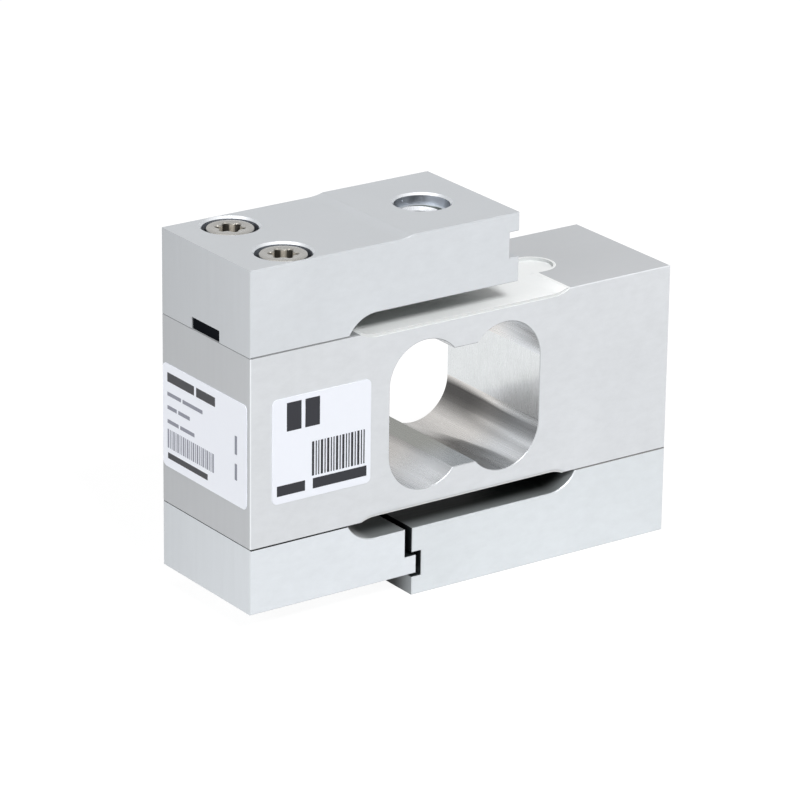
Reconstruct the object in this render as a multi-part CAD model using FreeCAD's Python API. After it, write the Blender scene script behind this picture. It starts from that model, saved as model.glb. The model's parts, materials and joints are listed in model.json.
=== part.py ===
"""S-type load cell: a bending body between two load blocks, with an overload stop.

Frame: X along the cell, Y through its depth, Z up along the load axis.  The origin
is under the middle of the cell, at the height of the lower load face.
Every feature of the lower half is the upper one turned half a turn about the Y axis
through the middle of the body.  Units are millimetres.
"""
import FreeCAD, Part
import math
import os

V = FreeCAD.Vector
AXIS_X = V(1, 0, 0)
AXIS_Y = V(0, 1, 0)
AXIS_Z = V(0, 0, 1)

# ---- the three layers -------------------------------------------------------
cell_length = 90.0            # X, over the ends of the bending body
cell_depth = 28.0             # Y, the same for every block
body_height = 35.0            # Z, bending body
block_height = 16.1           # Z, each load block
block_overhang = 11.0         # load block past the load axis, on its free side
body_chamfer = 0.15           # outer edges of the bending body
edge_break = 0.15             # profile edges of the load blocks and the stop

# ---- milled reliefs between the layers --------------------------------------
cutter_radius = 6.5           # every long relief ends in this radius
relief_half_span = 19.0       # load axis to the centre of the relief's end radius
block_relief_depth = 3.4      # relief in the load blocks and the stop
body_recess_depth = 1.1       # recess in the body that holds the strain gauges
pocket_radius = 4.3           # round-ended pocket that opens off the gauge recess
pocket_reach = 5.4            # pocket's end radius centre past the relief's centre

# ---- window through the body: four bores joined by a milled middle ------------
lobe_radius = 7.75
lobe_spacing_x = 16.8
lobe_spacing_z = 12.2
web_spacing = 22.2            # between the flat faces of the two thick webs
window_edge_break = 0.12

# ---- load threads, M8 ---------------------------------------------------------
thread_core_radius = 3.4      # core of the thread
thread_entry = 0.8            # 45 degree lead-in under the counterbore
mouth_radius = 5.0            # counterbore over the thread
mouth_depth = 2.0
bore_chamfer = 0.4            # mouth chamfer of every counterbore

# ---- raised load pad on the upper block ---------------------------------------
pad_step = 0.45               # the screw end lies this far below the pad
pad_ramp_radius = 12.0        # the step rises to the pad in this long arc
pad_ramp_offset = 14.8        # load axis to the low end of the arc

# ---- overload stop: a tongue that plays in a notch of the lower load block ---
notch_lip = 3.4               # lip between the notch and the load face
notch_height = 4.7
notch_depth = 2.0
tongue_play = 0.65            # above and below the tongue: the cell's overload travel
tongue_tip_gap = 1.1          # tongue's tip to the notch floor
stop_gap = 1.5                # stop's end face to the load block

# ---- cable channel under the screw end of each load block --------------------
channel_width = 8.7
channel_height = 2.15
seal_length = 6.0
seal_setback = 0.25

# ---- M5 cap screws with six-lobed sockets -------------------------------------
screw_inset = 10.4            # from the end of the cell
screw_spacing = 16.6          # across the depth
shank_radius = 2.5
head_radius = 4.25
head_height = 5.0
head_edge = 0.35
head_drop = 0.3               # head's top below the face it sits in
socket_tip_radius = 2.6       # across the lobes
socket_waist_radius = 1.9     # across the waists
lobe_tip_angle = 9.0          # half the angle that a lobe's tip spans, in degrees
waist_angle = 9.5             # half the angle that a waist's floor spans
socket_depth = 2.4
long_screw_length = 20.0
short_screw_length = 16.0
head_clearance = 0.75         # counterbore around the head
shank_clearance = 0.25        # clearance hole around the shank
tapped_clearance = 0.02       # core left around the shank in the body
tapped_runout = 1.5           # tapped hole past the screw's tip

# ---- strain gauges, their terminals and the cover over them -------------------
gauge_length = 7.0
gauge_width = 5.0
gauge_thickness = 0.08
terminal_length = 5.0
terminal_width = 8.0
terminal_thickness = 0.2
cover_thickness = 0.5
cover_margin = 0.25           # cover's edge to the body's front and back faces

# ---- adhesive labels -----------------------------------------------------------
label_height = 19.15
label_corner = 1.0
label_thickness = 0.12
front_label_width = 20.35
front_label_inset = 4.45      # from the end of the cell
front_label_sill = 7.4        # label's lower edge above the body's lower face
end_label_width = 26.6
end_label_front_gap = 1.05    # from the front face to the end label
end_label_sill = 7.05

# ---- working allowance ----------------------------------------------------------
overcut = 1.0                 # a cutting shape runs this far past the face it opens

# ---- places worked out from the sizes above -----------------------------------
half_length = cell_length / 2
half_depth = cell_depth / 2
body_bottom = block_height
body_top = body_bottom + body_height
cell_top = body_top + block_height
mid_height = (body_bottom + body_top) / 2
screw_x = half_length - screw_inset
counterbore_depth = head_height + head_drop
stop_bottom = notch_lip + tongue_play
tongue_height = notch_height - 2 * tongue_play
stop_end_x = -block_overhang - stop_gap
tongue_tip_x = -block_overhang + notch_depth - tongue_tip_gap


def turned(shape):
    """The shape after half a turn about the Y axis through the middle of the cell."""
    copy = shape.copy()
    copy.rotate(V(0, 0, mid_height), AXIS_Y, 180)
    return copy


def fuse_all(shapes):
    """One solid from shapes that overlap."""
    result = shapes[0]
    for shape in shapes[1:]:
        result = result.fuse(shape)
    return result.removeSplitter()


def slab(x_low, x_high, z_low, z_high, y_half=half_depth):
    """A block, centred on the cell's depth."""
    corner = V(x_low, -y_half, z_low)
    return Part.makeBox(x_high - x_low, 2 * y_half, z_high - z_low, corner)


def rod_y(radius, x, z, y_half=half_depth):
    """A round bar along Y, centred on the cell's depth."""
    return Part.makeCylinder(radius, 2 * y_half, V(x, -y_half, z), AXIS_Y)


def cutter_sweep(x_low, x_high, z_axis, y_half=half_depth):
    """What the relief cutter removes between two centres, with its axis along Y."""
    middle = slab(x_low, x_high, z_axis - cutter_radius, z_axis + cutter_radius, y_half)
    ends = [rod_y(cutter_radius, x, z_axis, y_half) for x in (x_low, x_high)]
    return fuse_all([middle] + ends)


def break_profile(shape, size, keep=lambda edge: True):
    """Chamfer the edges that lie in the front and back faces."""
    edges = []
    for edge in shape.Edges:
        box = edge.BoundBox
        flat = box.YLength < 1e-6
        if flat and abs(abs(box.YMin) - half_depth) < 1e-6 and keep(edge):
            edges.append(edge)
    return shape.makeChamfer(size, edges)


def stepped_bore(x, y, z_mouth, radius, depth, inner_radius, inner_depth, lead_in=0.0):
    """A counterbore that opens upwards at z_mouth, with the hole under it."""
    profile = [
        (0, 0),
        (radius + bore_chamfer, 0),
        (radius, -bore_chamfer),
        (radius, -depth),
        (inner_radius + lead_in, -depth),
        (inner_radius, -depth - lead_in),
        (inner_radius, -inner_depth),
        (0, -inner_depth),
    ]
    points = [V(x + r, y, z_mouth + z) for r, z in profile]
    points = [p for i, p in enumerate(points) if i == 0 or p.distanceToPoint(points[i - 1]) > 1e-9]
    face = Part.Face(Part.makePolygon(points + points[:1]))
    return face.revolve(V(x, y, 0), AXIS_Z, 360)


def screw_places(x):
    """The front and back screw on one seat."""
    return {"front": (x, -screw_spacing / 2), "back": (x, screw_spacing / 2)}


def screw_bores(x, z_mouth):
    """Counterbored clearance holes for the pair of screws, opening upwards."""
    bores = []
    for place in screw_places(x).values():
        bores.append(stepped_bore(*place, z_mouth, head_radius + head_clearance, counterbore_depth,
                                  shank_radius + shank_clearance, z_mouth - body_top + overcut))
    return fuse_all(bores)


def tapped_holes(x, z_head, length):
    """Blind tapped holes in the body for screws whose heads seat at z_head."""
    radius = shank_radius + tapped_clearance
    bottom = z_head - length - tapped_runout
    places = screw_places(x).values()
    return [Part.makeCylinder(radius, body_top - bottom, V(*place, bottom)) for place in places]


def gauge_recess(depth, y_half=half_depth, pocket=pocket_radius):
    """The recess in the body's top face, with the pocket that opens off its far end."""
    z_axis = body_top - depth + cutter_radius
    sweep = cutter_sweep(-relief_half_span, relief_half_span, z_axis, y_half)
    pocket_x = relief_half_span + pocket_reach
    run = Part.makeBox(pocket_reach, 2 * pocket, 2 * depth, V(relief_half_span, -pocket, body_top - depth))
    end = Part.makeCylinder(pocket, 2 * depth, V(pocket_x, 0, body_top - depth))
    return fuse_all([sweep, run, end])


def window():
    """Four bores along Y and the milled middle that joins them."""
    x_lobe = lobe_spacing_x / 2
    z_lobe = lobe_spacing_z / 2
    x_side = x_lobe + lobe_radius
    lobes = [rod_y(lobe_radius, x, mid_height + z) for x in (-x_lobe, x_lobe) for z in (-z_lobe, z_lobe)]
    sides = slab(-x_side, x_side, mid_height - z_lobe, mid_height + z_lobe)
    webs = slab(-x_lobe, x_lobe, mid_height - web_spacing / 2, mid_height + web_spacing / 2)
    return fuse_all([sides, webs] + lobes)


def spring_body():
    """The bending body: two thin leaves over and under the window, stiff ends."""
    block = slab(-half_length, half_length, body_bottom, body_top)
    block = block.makeChamfer(body_chamfer, block.Edges)
    recess = gauge_recess(body_recess_depth)
    block = block.cut(recess).cut(turned(recess)).cut(window())

    def is_window_edge(edge):
        box = edge.BoundBox
        high = box.ZMax < body_top - 2 * body_recess_depth
        low = box.ZMin > body_bottom + 2 * body_recess_depth
        return high and low and abs(box.Center.x) < relief_half_span

    block = break_profile(block, window_edge_break, is_window_edge)
    upper_seat = cell_top - pad_step - counterbore_depth
    block = block.cut(tapped_holes(-screw_x, upper_seat, long_screw_length))
    lower_seat = cell_top - counterbore_depth
    lower = tapped_holes(-screw_x, lower_seat, long_screw_length)
    stop_seat = cell_top - stop_bottom - counterbore_depth
    stop = tapped_holes(screw_x, stop_seat, short_screw_length)
    return block.cut([turned(hole) for hole in lower + stop])


def load_block(step):
    """A load block as it lies on top of the body, its top lowered by step over the screws."""
    block = slab(-half_length, block_overhang, body_top, cell_top)
    relief_axis = body_top + block_relief_depth - cutter_radius
    block = block.cut(cutter_sweep(-relief_half_span, relief_half_span, relief_axis))
    notch_top = cell_top - notch_lip
    block = block.cut(slab(block_overhang - notch_depth, block_overhang, notch_top - notch_height, notch_top))
    if step > 0:
        low_end = slab(-half_length, -pad_ramp_offset, cell_top - step, cell_top)
        ramp = rod_y(pad_ramp_radius, -pad_ramp_offset, cell_top - step + pad_ramp_radius)
        block = block.cut(fuse_all([low_end, ramp]))
    block = break_profile(block, edge_break)
    channel = slab(-half_length, -relief_half_span, body_top, body_top + channel_height, channel_width / 2)
    block = block.cut(channel)
    block = block.cut(screw_bores(-screw_x, cell_top - step))
    mouth = stepped_bore(0, 0, cell_top, mouth_radius, mouth_depth, thread_core_radius,
                         block_height, thread_entry)
    return block.cut(mouth)


def overload_stop():
    """The block under the screw end, with the tongue that enters the lower block's notch."""
    block = slab(-half_length, stop_end_x, stop_bottom, body_bottom)
    tongue = slab(stop_end_x - notch_depth, tongue_tip_x, stop_bottom, stop_bottom + tongue_height)
    block = fuse_all([block, tongue])
    relief_axis = body_bottom - block_relief_depth + cutter_radius
    block = block.cut(cutter_sweep(-relief_half_span, relief_half_span, relief_axis))
    block = break_profile(block, edge_break)
    return block.cut(turned(screw_bores(screw_x, cell_top - stop_bottom)))


def socket_outline(z):
    """Six lobes with flat tips, joined by straight flanks and flat waists."""
    corners = ((socket_tip_radius, -lobe_tip_angle), (socket_tip_radius, lobe_tip_angle),
               (socket_waist_radius, 30 - waist_angle), (socket_waist_radius, 30 + waist_angle))
    points = []
    for lobe in range(6):
        for radius, degrees in corners:
            angle = math.radians(60 * lobe + degrees)
            points.append(V(radius * math.cos(angle), radius * math.sin(angle), z))
    return Part.makePolygon(points + points[:1])


def cap_screw(place, z_head, length):
    """A cap screw with its head seated at z_head and its tip pointing down."""
    head = Part.makeCylinder(head_radius, head_height)
    rim = [edge for edge in head.Edges if edge.BoundBox.ZMin > head_height - 1e-6]
    head = head.makeChamfer(head_edge, rim)
    socket = Part.Face(socket_outline(head_height - socket_depth)).extrude(AXIS_Z * socket_depth)
    shank = Part.makeCylinder(shank_radius, length, V(0, 0, -length))
    screw = fuse_all([head, shank]).cut(socket)
    screw.translate(V(place[0], place[1], z_head))
    return screw


def rounded_plate(width, height, thickness):
    """A flat plate in the XZ plane with round corners, its back face at y = 0."""
    plate = Part.makeBox(width, thickness, height, V(0, -thickness, 0))
    corners = [edge for edge in plate.Edges if edge.BoundBox.YLength > thickness / 2]
    return plate.makeFillet(label_corner, corners)


def front_label():
    plate = rounded_plate(front_label_width, label_height, label_thickness)
    plate.translate(V(-half_length + front_label_inset, -half_depth, body_bottom + front_label_sill))
    return plate


def end_label():
    plate = rounded_plate(end_label_width, label_height, label_thickness)
    plate.rotate(V(0, 0, 0), AXIS_Z, -90)
    far_edge = -half_depth + end_label_front_gap + end_label_width
    plate.translate(V(-half_length, far_edge, body_bottom + end_label_sill))
    return plate


def channel_seal():
    """The potting that closes the cable channel at the end of the cell."""
    start = -half_length + seal_setback
    return slab(start, start + seal_length, body_top, body_top + channel_height, channel_width / 2)


def strain_gauge(x):
    """A foil gauge bonded over the thinnest place of a leaf."""
    floor = body_top - body_recess_depth
    half = gauge_length / 2
    return slab(x - half, x + half, floor, floor + gauge_thickness, gauge_width / 2)


def terminal_strip():
    """The solder terminals between the two gauges of a leaf."""
    floor = body_top - body_recess_depth
    half = terminal_length / 2
    return slab(-half, half, floor, floor + terminal_thickness, terminal_width / 2)


def gauge_cover(covered):
    """The coating on the recess: one thickness everywhere, hollow over the pieces it covers."""
    y_half = half_depth - cover_margin
    outer = gauge_recess(body_recess_depth, y_half)
    inner = gauge_recess(body_recess_depth - cover_thickness, half_depth, pocket_radius - cover_thickness)
    low = body_top - body_recess_depth - overcut
    below_top = slab(-half_length, half_length, low, body_top, y_half)
    cover = outer.common(below_top).cut(inner)
    return cover.cut(covered)


def build():
    """Every piece of the load cell, by node name."""
    pieces = {
        "spring_body": spring_body(),
        "upper_load_block": load_block(pad_step),
        "lower_load_block": turned(load_block(0.0)),
        "overload_stop": overload_stop(),
        "front_label": front_label(),
        "end_label": end_label(),
        "upper_channel_seal": channel_seal(),
        "lower_channel_seal": turned(channel_seal()),
    }

    upper_seat = cell_top - pad_step - counterbore_depth
    lower_seat = cell_top - counterbore_depth
    stop_seat = cell_top - stop_bottom - counterbore_depth
    for side, place in screw_places(-screw_x).items():
        pieces["upper_block_screw_" + side] = cap_screw(place, upper_seat, long_screw_length)
        pieces["lower_block_screw_" + side] = turned(cap_screw(place, lower_seat, long_screw_length))
    for side, place in screw_places(screw_x).items():
        pieces["stop_screw_" + side] = turned(cap_screw(place, stop_seat, short_screw_length))

    gauges = {}
    for side, x in (("left", -lobe_spacing_x / 2), ("right", lobe_spacing_x / 2)):
        gauges[side] = strain_gauge(x)
    strip = terminal_strip()
    cover = gauge_cover(list(gauges.values()) + [strip])
    for side, gauge in gauges.items():
        pieces["upper_strain_gauge_" + side] = gauge
        other = "right" if side == "left" else "left"
        pieces["lower_strain_gauge_" + other] = turned(gauge)
    pieces["upper_terminal_strip"] = strip
    pieces["lower_terminal_strip"] = turned(strip)
    pieces["upper_gauge_cover"] = cover
    pieces["lower_gauge_cover"] = turned(cover)
    return pieces


os.makedirs("parts", exist_ok=True)
for name, shape in build().items():
    solids = shape.Solids
    if len(solids) != 1:
        raise ValueError(name + " is " + str(len(solids)) + " solids, not one")
    if not solids[0].isValid():
        raise ValueError(name + " is not a valid solid")
    solids[0].exportStep("parts/" + name + ".step")
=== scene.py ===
"""Finishes an s-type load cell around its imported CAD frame.

Lengths are metres in the frame's own axes: X along the cell, Y through its depth,
Z up the load axis.  The lower half is the upper one after half a turn about the
Y axis through the middle of the bending body.
"""
import json
import math
import bmesh
import bpy
from bpy.props import FloatProperty, FloatVectorProperty, IntProperty, PointerProperty
from mathutils import Matrix, Vector


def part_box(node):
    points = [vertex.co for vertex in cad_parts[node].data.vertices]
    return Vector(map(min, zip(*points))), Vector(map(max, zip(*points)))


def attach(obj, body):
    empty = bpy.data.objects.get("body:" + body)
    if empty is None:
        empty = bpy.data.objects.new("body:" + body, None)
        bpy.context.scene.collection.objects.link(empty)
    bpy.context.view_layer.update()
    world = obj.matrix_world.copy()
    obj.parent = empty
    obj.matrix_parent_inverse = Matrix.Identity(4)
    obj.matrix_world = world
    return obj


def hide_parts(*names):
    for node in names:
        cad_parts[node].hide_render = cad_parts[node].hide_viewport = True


bl_info = {
    "name": "S-Type Load Cell",
    "version": (1, 0, 0),
    "blender": (4, 5, 0),
    "location": "View3D > Sidebar > Load Cell",
    "description": "Finishes an s-type load cell around its packed CAD frame",
    "category": "Object",
}

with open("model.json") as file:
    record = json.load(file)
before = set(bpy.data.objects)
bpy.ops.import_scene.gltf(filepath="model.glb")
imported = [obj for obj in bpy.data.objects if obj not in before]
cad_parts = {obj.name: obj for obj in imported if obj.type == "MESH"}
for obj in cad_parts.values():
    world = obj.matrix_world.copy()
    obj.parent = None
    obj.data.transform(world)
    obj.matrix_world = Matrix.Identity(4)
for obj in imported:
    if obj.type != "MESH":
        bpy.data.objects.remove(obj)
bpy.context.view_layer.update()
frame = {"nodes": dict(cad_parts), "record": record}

MM = 0.001
BODY_LOW, BODY_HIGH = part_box("spring_body")
UPPER_LOW, UPPER_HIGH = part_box("upper_load_block")
HALF_DEPTH = BODY_HIGH.y
MID_HEIGHT = (BODY_LOW.z + BODY_HIGH.z) / 2
TURN = Matrix.Translation((0, 0, 2 * MID_HEIGHT)) @ Matrix.Rotation(math.pi, 4, "Y")
CORE_RADIUS = frame["record"]["mounts"][0]["dims"]["r_mm"] * MM
LOBE_X, LOBE_Z = 8.4 * MM, 6.1 * MM     # a window bore's axis from the window's middle
WINDOW_SIDE = 16.15 * MM                # a flat side of the window from the middle
MERGE_GAP = 1e-6                # corners closer than this are one
MARGIN = 0.01 * MM              # for comparing two lengths
BORE_REACH = 5.45 * MM          # a bore's faces, its chamfer too, lie within this of its axis
BORE_DEPTH = 2.0 * MM           # from a load pad to the ledge of the bore on the load axis
LEAD_IN = 0.8 * MM              # 45 degree entry of the load threads
LEAD_IN_SLOPE = 0.78            # the entry's faces are steeper than a thread's flanks
THREAD_MOUTH = 4.3 * MM         # just outside the radius of that entry
EDGE_BREAK = 0.2 * MM           # an outer edge's chamfer lies within this of its face
WINDOW_REACH = 14.2 * MM        # the window's faces lie within this of its middle, up and down
WEB_REACH = 2.6 * MM            # a web's flat face lies within this of the load axis
RECESS_DEPTH = 1.2 * MM         # a gauge recess's faces lie within this of the body's face
RELIEF_DEPTH = 3.45 * MM        # a block relief's faces lie within this of the seam
UPPER_SEAM_END = -25 * MM       # the upper seam's painted shade stops left of this
GAP_REACH = 3.2 * MM            # the stop gap's faces lie within this of the lower block's end
GAP_LIP = 4.2 * MM              # top of the stop's low free end
KINK = math.radians(22)         # a turn sharper than this is an edge of the real part


# ---- sizes and colours that a user may change ----
def length(name, description, default):
    return FloatProperty(name=name, description=description, default=default, min=0.0,
                         unit="LENGTH", precision=5)


def colour(name, description, default):
    return FloatVectorProperty(name=name, description=description, default=default, size=3,
                               min=0.0, max=1.0, subtype="COLOR")


def angle(name, description, degrees):
    return FloatProperty(name=name, description=description, default=math.radians(degrees),
                         subtype="ANGLE")


def level(name, description, default):
    return FloatProperty(name=name, description=description, default=default, min=0.0)


class LoadCellFinish(bpy.types.PropertyGroup):
    """Colours of the load cell's own surfaces."""
    # Body, blocks and stop are one aluminium; their tints differ as painted light and shade, the lower
    # block and the stop painted lighter for the light from the floor.
    body: colour("Body", "Milled aluminium of the bending body", (0.70, 0.72, 0.745))
    upper: colour("Upper block", "Milled aluminium of the upper load block", (0.685, 0.712, 0.742))
    lower: colour("Lower block", "Milled aluminium of the lower load block", (0.712, 0.748, 0.775))
    stop: colour("Stop", "Milled aluminium of the overload stop", (0.76, 0.795, 0.83))
    window: colour("Window", "Bored metal inside the window, at a tone of 1", (1.0, 1.0, 1.0))
    screw: colour("Screws", "Stainless steel of the cap screws", (0.38, 0.373, 0.355))
    coating: colour("Coating", "White coating over the strain gauges", (0.975, 1.0, 1.0))
    label: colour("Labels", "Film of the adhesive labels", (0.86, 0.885, 0.95))
    ink: colour("Ink", "Print on the labels", (0.012, 0.013, 0.02))
    potting: colour("Potting", "Filler in the cable channels", (0.003, 0.004, 0.006))


class LoadCellThread(bpy.types.PropertyGroup):
    """The metric thread on the load axis."""
    pitch: length("Pitch", "Rise of the thread in one turn", 0.00125)
    major_radius: length("Major radius", "From the axis to the thread's root", 0.004)
    start: angle("Start", "Where the thread runs out, from +X", 241)
    steps: IntProperty(name="Steps", description="Steps in one turn", default=120, min=12)


class LoadCellScrews(bpy.types.PropertyGroup):
    """The cap screws and their six-lobed sockets."""
    head_radius: length("Head radius", "Radius of the head", 0.00425)
    head_height: length("Head height", "Height of the head", 0.005)
    head_round: length("Head edge", "Rounding of the head's upper rim", 0.00035)
    shank_radius: length("Shank radius", "Radius of the shank", 0.0025)
    tip_radius: length("Lobe radius", "From the axis to a lobe's tip", 0.0026)
    waist_radius: length("Waist radius", "From the axis to a waist", 0.0019)
    tip_round: length("Lobe round", "Radius of a lobe's tip", 0.0006)
    socket_depth: length("Socket depth", "Depth of the socket's wall", 0.0024)


class LoadCellStage(bpy.types.PropertyGroup):
    """Camera, lamps and floor."""
    place: FloatVectorProperty(name="Camera place", description="Where the camera stands",
                               default=(-0.43904, -0.61656, 0.31409), subtype="TRANSLATION",
                               unit="LENGTH", size=3, precision=5)
    lens: FloatProperty(name="Lens", description="Focal length on a 36 mm sensor",
                        default=204.52, min=1.0, unit="CAMERA")
    azimuth: angle("Azimuth", "Heading of the view from +Y towards +X", 35.197)
    elevation: angle("Elevation", "How far the view points down", 20.568)
    roll: angle("Roll", "Turn of the camera about its view", 0.740)
    key: level("Key lamp", "Power of the lamp before and over the cell, in watts", 30.0)
    top: level("Top lamp", "Power of the lamp over the cell, in watts", 6.0)
    side: level("Side lamp", "Power of the lamp on the left, in watts", 21.5)
    ambient: level("Ambient", "Light from the surroundings", 0.20)
    floor_size: length("Floor size", "Side of the square floor", 6.0)


# ---- nodes and materials ----
class Nodes:
    """Adds nodes to one tree; an input takes a value or another node's socket."""

    def __init__(self, tree):
        self.tree = tree

    def add(self, kind, settings=(), **inputs):
        node = self.tree.nodes.new("ShaderNode" + kind)
        for key, value in dict(settings).items():
            setattr(node, key, value)
        for key, value in inputs.items():
            self.join(value, node.inputs[key.replace("_", " ")])
        return node

    def join(self, value, socket):
        if isinstance(value, bpy.types.NodeSocket):
            self.tree.links.new(value, socket)
        else:
            socket.default_value = value

    def place(self, centre=(0, 0, 0), grain=(1, 1, 1)):
        """Object coordinates from a centre, counted in grains of the given millimetres."""
        source = self.add("TexCoord").outputs["Object"]
        scale = [1 / (size * MM) for size in grain]
        offset = [-c * s for c, s in zip(centre, scale)]
        return self.add("Mapping", Vector=source, Location=offset, Scale=scale).outputs[0]

    def axes(self, centre=(0, 0, 0)):
        """X, Y and Z from a centre, in millimetres."""
        return self.add("SeparateXYZ", Vector=self.place(centre)).outputs

    def noise(self, grain, detail=2.0, roughness=0.5):
        return self.add("TexNoise", Vector=self.place(grain=grain), Scale=1.0, Detail=detail,
                        Roughness=roughness).outputs[0]

    def ranged(self, value, low, high, from_low=0.3, from_high=0.7):
        return self.add("MapRange", Value=value, From_Min=from_low, From_Max=from_high,
                        To_Min=low, To_Max=high).outputs[0]

    def math(self, operation, first, second):
        node = self.add("Math", {"operation": operation})
        self.join(first, node.inputs[0])
        self.join(second, node.inputs[1])
        return node.outputs[0]

    def smooth(self, value, low, high):
        """Rises softly from 0 to 1 as the value goes from low to high."""
        return self.add("MapRange", {"interpolation_type": "SMOOTHSTEP"}, Value=value,
                        From_Min=low, From_Max=high, To_Min=0.0, To_Max=1.0).outputs[0]

    def bands(self, value, stops):
        """A grey tone that follows stops of value and tone."""
        low, high = stops[0][0], stops[-1][0]
        node = self.add("ValToRGB", Fac=self.ranged(value, 0, 1, low, high))
        elements = node.color_ramp.elements
        elements[1].position = 1.0
        for index, (at, tone) in enumerate(stops):
            ends = {0: elements[0], len(stops) - 1: elements[len(elements) - 1]}
            element = ends.get(index) or elements.new((at - low) / (high - low))
            element.color = (tone, tone, tone, 1)
        return node.outputs[0]

    def mix(self, factor, first, second, blend="MIX"):
        """Two colours mixed by a factor."""
        node = self.add("Mix", {"data_type": "RGBA", "blend_type": blend})
        for value, socket in ((factor, 0), (first, 6), (second, 7)):
            self.join(value, node.inputs[socket])
        return node.outputs[2]

    def times(self, first, second):
        """Two colours multiplied."""
        return self.mix(1.0, first, second, "MULTIPLY")

    def bump(self, height, strength, distance):
        return self.add("Bump", Height=height, Strength=strength, Distance=distance).outputs[0]


class Finish(Nodes):
    """The nodes of a new material, round its own shader."""

    def __init__(self, name):
        self.material = bpy.data.materials.new(name)
        self.material.use_nodes = True
        super().__init__(self.material.node_tree)
        self.shader = self.tree.nodes["Principled BSDF"]

    def done(self, colour, roughness, metallic=0.0, specular=0.5, height=None, strength=0.1,
             distance=0.02 * MM):
        """Sets the shader and returns the material; a height gives it a fine relief."""
        settings = {"Base Color": colour, "Roughness": roughness, "Metallic": metallic,
                    "Specular IOR Level": specular}
        if height:
            settings["Normal"] = self.bump(height, strength, distance)
        for name, value in settings.items():
            self.join(value, self.shader.inputs[name])
        return self.material


def toned(values, scale):
    return [min(value * scale, 1.0) for value in values]


def rgba(values, scale=1.0):
    return toned(values, scale) + [1.0]


def milled(name, tint, grain, roughness=0.42, metallic=0.5, contrast=0.015, cloud=0.02, bump=0.08,
           back=1.0):
    """Milled metal: tool marks stretched along one axis, soft patches, and a painted shade towards the
    back edge.

    Grain is the marks' size along X, Y and Z in millimetres, contrast and cloud are how far the
    marks and the patches leave the tint.
    """
    nodes = Finish(name)
    marks = nodes.noise(grain, detail=4.0, roughness=0.65)
    patches = nodes.noise((14, 14, 14), detail=2.0)
    tone = nodes.mix(nodes.ranged(marks, 0, 1), rgba(tint, 1 - contrast), rgba(tint, 1 + contrast))
    shade = nodes.mix(nodes.ranged(patches, 0, 1), rgba((1 - cloud,) * 3), rgba((1, 1, 1)))
    colour = nodes.times(tone, shade)
    # Painted shade: the face darkens towards its back edge, down to the back tone.
    if back != 1.0:
        reach = nodes.ranged(nodes.axes()[1], 0, 1, -HALF_DEPTH / MM, HALF_DEPTH / MM)
        painted_shade = nodes.mix(reach, rgba((1, 1, 1)), rgba((back,) * 3))
        colour = nodes.times(colour, painted_shade)
    rough = nodes.ranged(marks, roughness - 0.05, roughness + 0.06)
    return nodes.done(colour, rough, metallic, height=marks, strength=bump)


def plain_metal(name, tint, roughness=0.42, metallic=0.5):
    """Metal of a narrow face, with no marks of its own."""
    return milled(name, tint, (1, 1, 1), roughness, metallic, contrast=0.0, bump=0.0)


def bored(name, tint, painted_shade_tint, low, high, roughness=0.35, metallic=0.7):
    """Metal inside a bore or a relief: its tint at the cell's faces, darkening to a painted shade in the
    middle of the cell's depth.

    Low and high are the millimetres from the cell's middle plane where the change starts and ends.
    """
    nodes = Finish(name)
    # Painted shade: darker towards the middle of the cell's depth.
    painted_shade = nodes.smooth(nodes.math("ABSOLUTE", nodes.axes()[1], 0.0), low, high)
    marks = nodes.noise((9, 0.25, 9), detail=3.0)
    tone = nodes.mix(painted_shade, rgba(painted_shade_tint), rgba(tint))
    shade = nodes.mix(nodes.ranged(marks, 0, 1), rgba((0.88,) * 3), rgba((1, 1, 1)))
    rough = nodes.ranged(marks, roughness - 0.06, roughness + 0.06)
    return nodes.done(nodes.times(tone, shade), rough, metallic, height=marks,
                      strength=0.2)


def rim(name):
    """Smooth chamfer of a bore's mouth, with a painted highlight on the side away from the front and the
    left.
    """
    nodes = Finish(name)
    bearing = nodes.add("Attribute", {"attribute_name": "bearing"}).outputs["Vector"]
    across, behind = nodes.add("SeparateXYZ", Vector=bearing).outputs[:2]
    facing = nodes.math("ADD", nodes.math("MULTIPLY", across, 0.50),
                        nodes.math("MULTIPLY", behind, 0.87))
    # Painted highlight on the chamfer's far side.
    painted_highlight = nodes.smooth(facing, 0.50, 0.98)
    fine = nodes.ranged(nodes.noise((0.8, 0.8, 0.8)), 0.97, 1.0)
    tone = nodes.mix(painted_highlight, (0.60, 0.625, 0.655, 1), (0.86, 0.88, 0.91, 1))
    return nodes.done(nodes.times(tone, fine), 0.25, 0.8)


def load_bore(name, tint, low, high):
    """Wall of the load bore's mouth: patches of painted light and shade round it, painted lighter towards
    the ledge.
    """
    nodes = Finish(name)
    x, y, z = nodes.axes((0, 0, MID_HEIGHT))
    angle = nodes.math("MULTIPLY", nodes.math("ARCTAN2", y, x), math.degrees(1))
    waver = nodes.ranged(nodes.noise((1.5, 1.5, 1.5), detail=3.0), -9, 9)
    # Painted light and shade in bands round the load axis.
    painted_light_bands = nodes.bands(nodes.math("ADD", angle, waver), (
        (-180, 0.30), (-36, 0.12), (-20, 0.20), (-8, 0.42), (8, 0.62), (40, 0.72), (54, 0.56),
        (63, 0.34), (72, 0.26), (80, 0.32), (92, 0.46), (103, 0.44), (116, 0.28), (130, 0.20),
        (180, 0.30)))
    # Painted light: the wall grows lighter towards the ledge.
    down = nodes.smooth(nodes.math("ABSOLUTE", z, 0.0), high, low)
    light = nodes.mix(down, (0.85, 0.87, 0.9, 1), (1.25, 1.27, 1.3, 1))
    tone = nodes.times(painted_light_bands, light)
    return nodes.done(nodes.times(rgba(tint), tone), 0.4, 0.7)


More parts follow.
